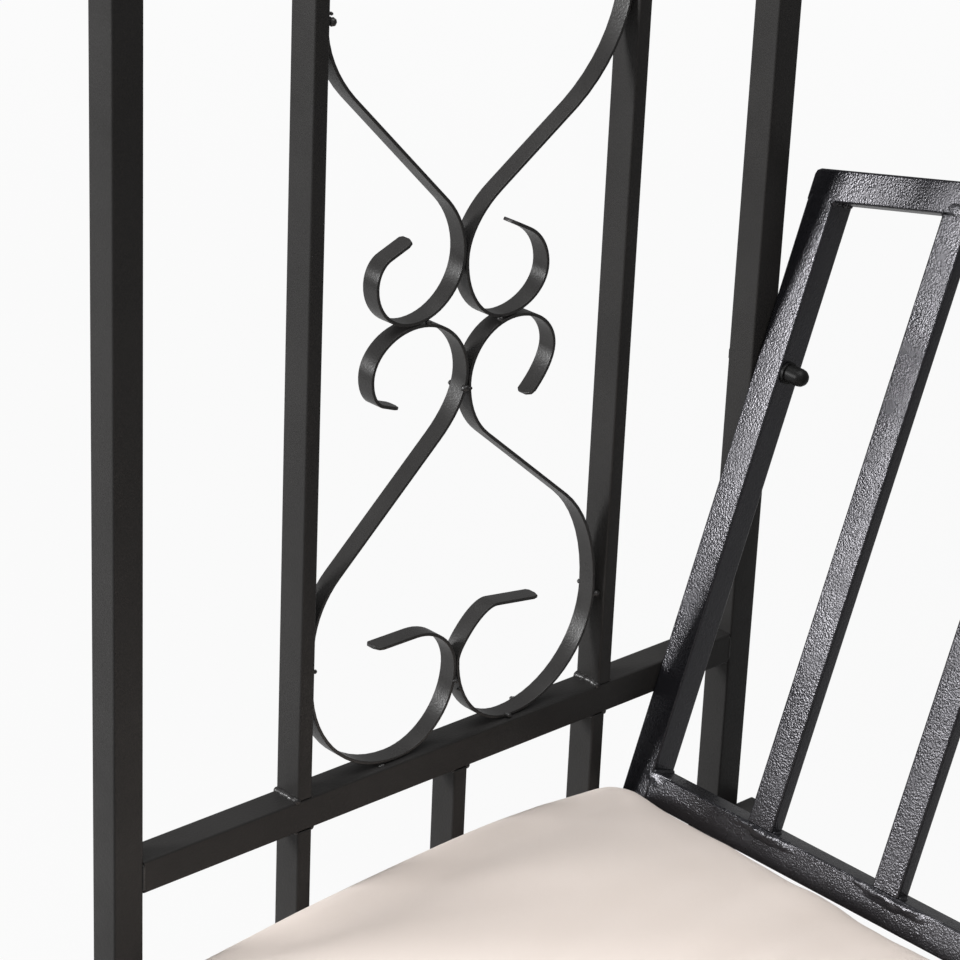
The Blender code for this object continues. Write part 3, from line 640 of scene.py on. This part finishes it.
washer_radius, washer_height = 0.0065, 0.0010
head_radius, head_height, head_chamfer = 0.0050, 0.0031, 0.0006
nut_radius, nut_side, nut_flange, nut_flange_height = 0.0057, 0.0100, 0.0070, 0.0018
dome_steps = 6
screw_drop = 0.0175
screw_profile = (
    (0, 0), (0.0042, 0), (0.0042, 0.0006), (0.0034, 0.0018), (0.0016, 0.0023), (0.0015, 0.0013), (0, 0.0013))
for side_name, side in side_signs.items():
    rail_low, rail_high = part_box("seat_" + side_name + "_rail")
    rail_height = (rail_low.z + rail_high.z) / 2
    rail_inside = rail_high.x if side < 0 else rail_low.x
    for end in ("front", "rear"):
        post_low, post_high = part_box(side_name + "_" + end + "_post")
        post_outside = post_low.x if side < 0 else post_high.x
        place_y = (post_low.y + post_high.y) / 2
        bm = bmesh.new()
        turned(bm, (post_outside, place_y, rail_height), (side, 0, 0), (
            (0, 0), (washer_radius, 0), (washer_radius, washer_height), (head_radius, washer_height),
            (head_radius, washer_height + head_height - head_chamfer),
            (head_radius - head_chamfer, washer_height + head_height), (0, washer_height + head_height),
        ), hexagonal=(3, 4))
        dome = [(nut_radius * math.cos(math.pi / 2 * k / dome_steps),
                 nut_side + nut_radius * math.sin(math.pi / 2 * k / dome_steps)) for k in range(dome_steps)]
        turned(bm, (rail_inside, place_y, rail_height), (-side, 0, 0), (
            (0, 0), (nut_flange, 0), (nut_flange, nut_flange_height), (nut_radius, nut_flange_height),
            *dome, (0, nut_side + nut_radius)))
        sharp_fixing(f"seat_{side_name}_{end}_bolt", bm, fixing_coat)
        bm = bmesh.new()
        turned(bm, (post_outside, place_y, post_high.z - screw_drop), (side, 0, 0), screw_profile)
        sharp_fixing(f"arch_{side_name}_{end}_screw", bm, fixing_coat)

plug_half = 0.0084
plug_thickness = 0.0016
plug_crown = 0.0007
plug_sunk = 0.0010
plug_taper = 0.97
plug_cells = 6
top_rail_height = 0.407


def end_plug(name, place, way, across, other):
    """A push-in plug in a tube's open end: a slightly crowned square plate."""
    place, way, across, other = Vector(place), Vector(way), Vector(across), Vector(other)
    bm = bmesh.new()
    grids = []
    for front in (True, False):
        grid = []
        for i in range(plug_cells + 1):
            row = []
            for j in range(plug_cells + 1):
                a, b = 2 * i / plug_cells - 1, 2 * j / plug_cells - 1
                lift = -plug_sunk - plug_thickness
                if front:
                    lift = plug_crown * (1 - a * a) * (1 - b * b) - plug_sunk
                half = plug_half * (1 if front else plug_taper)
                row.append(bm.verts.new(place + way * lift + across * a * half + other * b * half))
            grid.append(row)
        grids.append(grid)
    close_grids(bm, grids, plug_cells, plug_cells)
    sharp_fixing(name, bm, plug_coat)


for side_name, side in side_signs.items():
    rail_low, rail_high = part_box("seat_" + side_name + "_rail")
    middle = (rail_low + rail_high) / 2
    for end, y, way in (("front", rail_low.y, -1), ("rear", rail_high.y, 1)):
        end_plug(f"seat_{side_name}_{end}_plug", (middle.x, y, middle.z), (0, way, 0), (1, 0, 0), (0, 0, 1))
    rail_end = on_face(side * back_half, top_rail_height - rail_size / 2, -rail_size / 2)
    end_plug(f"back_{side_name}_plug", rail_end, (side, 0, 0), face_out, face_up)

# Seat cushion: a slab of cloth blown up a little, pinned where it rests on the seat. The cap is the most
# that a point of it may move
pad_low, pad_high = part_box("seat_cushion")
pad_inset = 0.0070
pad_clearance = 0.0004
pad_fullness = 0.0006
pad_back = 0.1070
pad_rest = pad_low.z + pad_clearance
pad_start_height = 0.0520
pad_half_x = (pad_high.x - pad_low.x) / 2 + pad_fullness - pad_inset
pad_front = pad_low.y + pad_inset
pad_rear = pad_back - pad_inset
pad_half_y = (pad_rear - pad_front) / 2
pad_middle_y = (pad_rear + pad_front) / 2
pad_corner = 0.0160
pad_voxel = 0.0060
pad_swell_cap = 0.0115
pad_swell_run = 0.05
pad_pinned_share = 0.6
pad_pressure = 4.0
pad_stretch_stiffness = 12
pad_bend_stiffness = 1.0
pad_frames = 20
pad_steps_per_frame = 6
stile_lean = math.tan(lean)
stile_clearance = 0.0012


def pad_outline(steps=8):
    """Plan of the slab: a rectangle with round corners, counter-clockwise."""
    points = []
    for k, (sign_x, sign_y) in enumerate(((1, 1), (-1, 1), (-1, -1), (1, -1))):
        for j in range(steps + 1):
            angle = math.pi / 2 * (k + j / steps)
            points.append((
                sign_x * (pad_half_x - pad_corner) + pad_corner * math.cos(angle),
                pad_middle_y + sign_y * (pad_half_y - pad_corner) + pad_corner * math.sin(angle),
            ))
    return points


def smooth_step(value):
    """Zero below zero, one above one, and a smooth climb between."""
    value = min(max(value, 0.0), 1.0)
    return value * value * (3 - 2 * value)


def swollen_slab():
    """The slab after the cloth has been blown up, as its own object, and its points before that."""
    bm = bmesh.new()
    low_ring = [bm.verts.new((x, y, pad_rest)) for x, y in pad_outline()]
    high_ring = [bm.verts.new((x, y, pad_rest + pad_start_height)) for x, y in pad_outline()]
    for k in range(len(low_ring)):
        after = (k + 1) % len(low_ring)
        bm.faces.new((low_ring[k], low_ring[after], high_ring[after], high_ring[k]))
    bm.faces.new(low_ring[::-1])
    bm.faces.new(high_ring)
    mesh = bpy.data.meshes.new("seat_cushion_cover")
    bm.to_mesh(mesh)
    bm.free()
    pad = bpy.data.objects.new("seat_cushion_cover", mesh)
    scene.collection.objects.link(pad)
    remesh = pad.modifiers.new("cells", "REMESH")
    remesh.mode = "VOXEL"
    remesh.voxel_size = pad_voxel
    applied = bpy.data.meshes.new_from_object(pad.evaluated_get(bpy.context.evaluated_depsgraph_get()))
    pad.modifiers.clear()
    pad.data = applied
    applied.name = "seat_cushion_cover"
    start = [vertex.co.copy() for vertex in applied.vertices]
    pinned = pad.vertex_groups.new(name="resting")
    for vertex in applied.vertices:
        if vertex.co.z < pad_rest + pad_voxel * pad_pinned_share:
            pinned.add([vertex.index], 1.0, "REPLACE")
    cloth_modifier = pad.modifiers.new("swell", "CLOTH")
    settings = cloth_modifier.settings
    settings.quality = pad_steps_per_frame
    settings.use_pressure = True
    settings.uniform_pressure_force = pad_pressure
    settings.effector_weights.gravity = 0
    settings.vertex_group_mass = "resting"
    settings.tension_stiffness = settings.compression_stiffness = pad_stretch_stiffness
    settings.bending_stiffness = pad_bend_stiffness
    cloth_modifier.point_cache.frame_start = 1
    cloth_modifier.point_cache.frame_end = pad_frames
    for step in range(1, pad_frames + 1):
        scene.frame_set(step)
    swollen = bpy.data.meshes.new_from_object(pad.evaluated_get(bpy.context.evaluated_depsgraph_get()))
    for before, vertex in zip(start, swollen.vertices):
        move = vertex.co - before
        if move.length > 0:
            vertex.co = before + move * (pad_swell_cap * math.tanh(move.length / pad_swell_cap) / move.length)
    pad.modifiers.clear()
    pad.vertex_groups.clear()
    pad.data = swollen
    scene.frame_set(1)
    return pad, start


# Its sides, from the seat up: how far they stand out of the slab at shares of the height
side_profile = (
    (0.0, 0.0), (0.12, 0.0034), (0.30, 0.0056), (0.47, 0.0036), (0.50, 0.0022), (0.53, 0.0036),
    (0.72, 0.0070), (0.88, 0.0066), (1.0, 0.0045), (2.0, 0.0045))
highest_share = 1.99

# Its top: a crest across the bench that falls to the front and the rear, a lower plateau away from the
# sides, rolled edges, a trough near each side, and soft folds
crest_rise = 0.0748
crest_height = pad_rest + crest_rise
crest_place = -0.0250
front_fall = 0.33
rear_fall = 0.90
inner_front_share = 0.45
side_fade = 0.12
plateau_drop = 0.0018
plateau_start = 0.010
plateau_run = 0.040
pull_start = 0.4700
pull_run = 0.1100
rear_pull = 0.0060
front_pull = 0.0045
side_pull = 0.0020
swell_share = 0.25
roll_reach = 0.0120
roll_drop = 0.0065
corner_reach = 0.0300
trough_place = 0.0300
trough_width = 0.0130
trough_depth = 0.0026
trough_end_run = 0.06
wrinkle_width = 0.0480
wrinkle_length = 0.2600
wrinkle_height = 0.0030
wrinkle_side_share = 0.45
wrinkle_start = 0.03
wrinkle_run = 0.15
fine_wrinkle_share = 0.45
seam_share = 0.50


def side_reach(share):
    """How far the side stands out of the slab, at a share of the height."""
    share = min(max(share, 0.0), highest_share)
    for (low_share, low_reach), (high_share, high_reach) in zip(side_profile, side_profile[1:]):
        if share <= high_share:
            climb = smooth_step((share - low_share) / (high_share - low_share))
            return low_reach + (high_reach - low_reach) * climb
    return high_reach


def inside_edge(x, y):
    """How far a place of the plan lies inside the slab's edge, with round corners."""
    to_side = pad_half_x - abs(x)
    to_end = pad_half_y - abs(y - pad_middle_y)
    if to_side > corner_reach or to_end > corner_reach:
        return max(0.0, min(to_side, to_end))
    return max(0.0, corner_reach - math.hypot(corner_reach - to_side, corner_reach - to_end))


def pad_top(x, y):
    """Height of the filled cushion's top skin over a place of the plan."""
    to_side = max(0.0, pad_half_x - abs(x))
    away = y - crest_place
    fall = rear_fall * away * away
    if away < 0:
        steepness = inner_front_share + (1 - inner_front_share) * math.exp(-to_side / side_fade)
        fall = front_fall * away * away * steepness
    fall += plateau_drop * smooth_step((to_side - plateau_start) / plateau_run)
    inside = inside_edge(x, y)
    roll = 0.0
    if inside < roll_reach:
        roll = roll_drop * (1 - math.sqrt(max(0.0, 1 - (1 - inside / roll_reach) ** 2)))
    trough = trough_depth * math.exp(-((to_side - trough_place) / trough_width) ** 2)
    ends_share = smooth_step((pad_half_y - abs(y - pad_middle_y)) / trough_end_run)
    wave = noise.noise(Vector((x / wrinkle_width, y / wrinkle_length, 3.7)))
    fine_spot = Vector((x / wrinkle_width * 2.3 + y * 4, y / wrinkle_length * 2, 9.1))
    wave += fine_wrinkle_share * noise.noise(fine_spot)
    inner_share = smooth_step((to_side - wrinkle_start) / wrinkle_run)
    strength = wrinkle_side_share + (1 - wrinkle_side_share) * inner_share
    return crest_height - fall - roll - trough * ends_share + wrinkle_height * wave * strength


def shaped_point(point, swollen_height):
    """Place of one point of the cover on the filled cushion, from its place on a slab that high there."""
    x, y, z = point
    share = (z - pad_rest) / swollen_height
    out = side_reach(share)
    along = (y - pad_middle_y) / pad_half_y
    end_pull = (rear_pull if along > 0 else front_pull) * smooth_step((pull_start - abs(x)) / pull_run)
    new_x = x * (pad_half_x + out - side_pull * max(0.0, 1 - along * along)) / pad_half_x
    new_y = pad_middle_y + along * (pad_half_y + out - end_pull)
    new_z = pad_rest + max(0.0, share) * (pad_top(x, y) - pad_rest)
    stile_face = face_origin.y + (new_z - face_origin.z) * stile_lean
    return Vector((new_x, min(new_y, stile_face - stile_clearance), new_z))


def shape_pad(pad, start):
    """Draws the swollen slab out to its crest, trough, wrinkles and rounded sides."""
    for before, vertex in zip(start, pad.data.vertices):
        full_swell = pad_swell_cap * smooth_step(inside_edge(before.x, before.y) / pad_swell_run)
        swell = full_swell
        whole = shaped_point(before, pad_start_height)
        vertex.co = whole.lerp(shaped_point(vertex.co, pad_start_height + swell), swell_share)


pad, start = swollen_slab()
shape_pad(pad, start)
pad.data.shade_smooth()
pad.data.materials.clear()
pad.data.materials.append(cloth)
fineness = pad.modifiers.new("fine", "SUBSURF")
fineness.levels = fineness.render_levels = 1
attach(pad, "root")
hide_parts("seat_cushion")

# Seam cord of the cushion, round the middle of its sides
seam_radius = 0.0011
seam_out = 0.4
seam_sides = 8
bm = bmesh.new()
rings = []
outline = pad_outline(steps=12)
for k, (x, y) in enumerate(outline):
    ahead, behind = outline[(k + 1) % len(outline)], outline[k - 1]
    way = Vector((ahead[0] - behind[0], ahead[1] - behind[1], 0)).normalized()
    away = Vector((way.y, -way.x, 0))
    centre = shaped_point(Vector((x, y, pad_rest + seam_share * pad_start_height)), pad_start_height)
    centre += away * seam_radius * seam_out
    stile_face = face_origin.y + (centre.z - face_origin.z) * stile_lean
    centre.y = min(centre.y, stile_face - stile_clearance / 2 - seam_radius)
    ring = []
    for j in range(seam_sides):
        angle = 2 * math.pi * j / seam_sides
        ring.append(bm.verts.new(
            centre + away * seam_radius * math.cos(angle) + Vector((0, 0, seam_radius * math.sin(angle)))))
    rings.append(ring)
for ring, after in zip(rings, rings[1:] + rings[:1]):
    for j in range(seam_sides):
        bm.faces.new((ring[j], ring[(j + 1) % seam_sides], after[(j + 1) % seam_sides], after[j]))
finish_piece("seat_cushion_seam", bm, seam_cloth)

# Camera, at the place and angle from which the photograph was taken
camera_place = Vector((0.70212, -1.22432, 1.43602))
camera_yaw = math.radians(46.42)
camera_tilt = math.radians(90 - 23.09)
camera_roll = math.radians(2.54)
camera_data = bpy.data.cameras.new("camera")
camera_data.lens = 123.86
camera_data.sensor_width = 36
camera = bpy.data.objects.new("camera", camera_data)
scene.collection.objects.link(camera)
camera.matrix_world = (
    Matrix.Translation(camera_place) @ Matrix.Rotation(camera_yaw, 4, "Z")
    @ Matrix.Rotation(camera_tilt, 4, "X") @ Matrix.Rotation(camera_roll, 4, "Z")
)
scene.camera = camera


# Light
def softbox(name, place, target, width, height, power):
    """A rectangular soft lamp that faces a target."""
    data = bpy.data.lights.new(name, "AREA")
    data.shape = "RECTANGLE"
    data.size = width
    data.size_y = height
    data.energy = power
    lamp = bpy.data.objects.new(name, data)
    scene.collection.objects.link(lamp)
    place, target = Vector(place), Vector(target)
    lamp.location = place
    lamp.rotation_euler = (target - place).to_track_quat("-Z", "Y").to_euler()


key_turn = math.radians(27)
key_lift = math.radians(15)
key_distance = 3.0
key_target = Vector((-0.50, 0.20, 0.65))
key_way = Vector((
    -math.sin(key_turn) * math.cos(key_lift), -math.cos(key_turn) * math.cos(key_lift), math.sin(key_lift)))
softbox("key", key_target + key_way * key_distance, key_target, width=0.66, height=0.76, power=76)
softbox("top", (-0.3, -0.2, 3.4), (-0.1, 0, 0.4), width=2.8, height=2.8, power=90)
softbox("fill", (2.8, -2.2, 1.9), (0, 0, 0.7), width=1.6, height=1.6, power=8)

# Floor and surroundings: white to the camera and through glass, and dimmer in gloss and as fill. The floor
# keeps a little of its own shade near the bench and none far away
floor_bm = bmesh.new()
floor_half = 30
floor_grey = 0.45
near_reach, near_share = 1.5, 0.92
far_reach, far_share = 7.0, 1.0
floor_in_gloss = 0.054
world_in_gloss = 0.05
world_fill = 0.20
corners = [
    floor_bm.verts.new((x * floor_half, y * floor_half, 0)) for x, y in ((-1, -1), (1, -1), (1, 1), (-1, 1))]
floor_bm.faces.new(corners)
floor_mesh = bpy.data.meshes.new("floor")
floor_bm.to_mesh(floor_mesh)
floor_bm.free()
floor = bpy.data.objects.new("floor", floor_mesh)
scene.collection.objects.link(floor)


def background_share(tree, in_gloss):
    """How far a ray sees the white background: fully in view or through glass, less in gloss."""
    path = add_node(tree, "ShaderNodeLightPath")
    direct = add_node(tree, "ShaderNodeMath", operation="MAXIMUM")
    tree.links.new(path.outputs["Is Camera Ray"], direct.inputs[0])
    tree.links.new(path.outputs["Is Transmission Ray"], direct.inputs[1])
    glossy = add_node(tree, "ShaderNodeMath", operation="MULTIPLY")
    glossy.inputs[1].default_value = in_gloss
    tree.links.new(path.outputs["Is Glossy Ray"], glossy.inputs[0])
    either = add_node(tree, "ShaderNodeMath", operation="MAXIMUM")
    tree.links.new(direct.outputs[0], either.inputs[0])
    tree.links.new(glossy.outputs[0], either.inputs[1])
    return either.outputs[0]


floor_colour = (floor_grey, floor_grey, floor_grey, 1)
floor_material, tree, shader = new_material("pale_floor", base_color=floor_colour, roughness=0.8)
floor_mesh.materials.append(floor_material)
glow = add_node(tree, "ShaderNodeEmission", {"Color": (1, 1, 1, 1), "Strength": 1.0})
mixed = add_node(tree, "ShaderNodeMixShader")
floor_place = add_node(tree, "ShaderNodeTexCoord")
floor_reach = add_node(tree, "ShaderNodeVectorMath", operation="LENGTH")
floor_fade = add_node(tree, "ShaderNodeMapRange", {
    "From Min": near_reach, "From Max": far_reach, "To Min": near_share, "To Max": far_share})
floor_share = add_node(tree, "ShaderNodeMath", operation="MULTIPLY")
tree.links.new(floor_place.outputs["Object"], floor_reach.inputs[0])
tree.links.new(floor_reach.outputs["Value"], floor_fade.inputs["Value"])
tree.links.new(background_share(tree, floor_in_gloss), floor_share.inputs[0])
tree.links.new(floor_fade.outputs["Result"], floor_share.inputs[1])
tree.links.new(floor_share.outputs[0], mixed.inputs["Fac"])
tree.links.new(shader.outputs[0], mixed.inputs[1])
tree.links.new(glow.outputs[0], mixed.inputs[2])
tree.links.new(mixed.outputs[0], tree.nodes["Material Output"].inputs["Surface"])

world = bpy.data.worlds.new("studio")
scene.world = world
world.use_nodes = True
tree = world.node_tree
background = tree.nodes["Background"]
background.inputs["Color"].default_value = (1, 1, 1, 1)
strength = add_node(tree, "ShaderNodeMapRange", {"To Min": world_fill, "To Max": 1.0})
tree.links.new(background_share(tree, world_in_gloss), strength.inputs["Value"])
tree.links.new(strength.outputs["Result"], background.inputs["Strength"])

scene.view_settings.view_transform = "Standard"
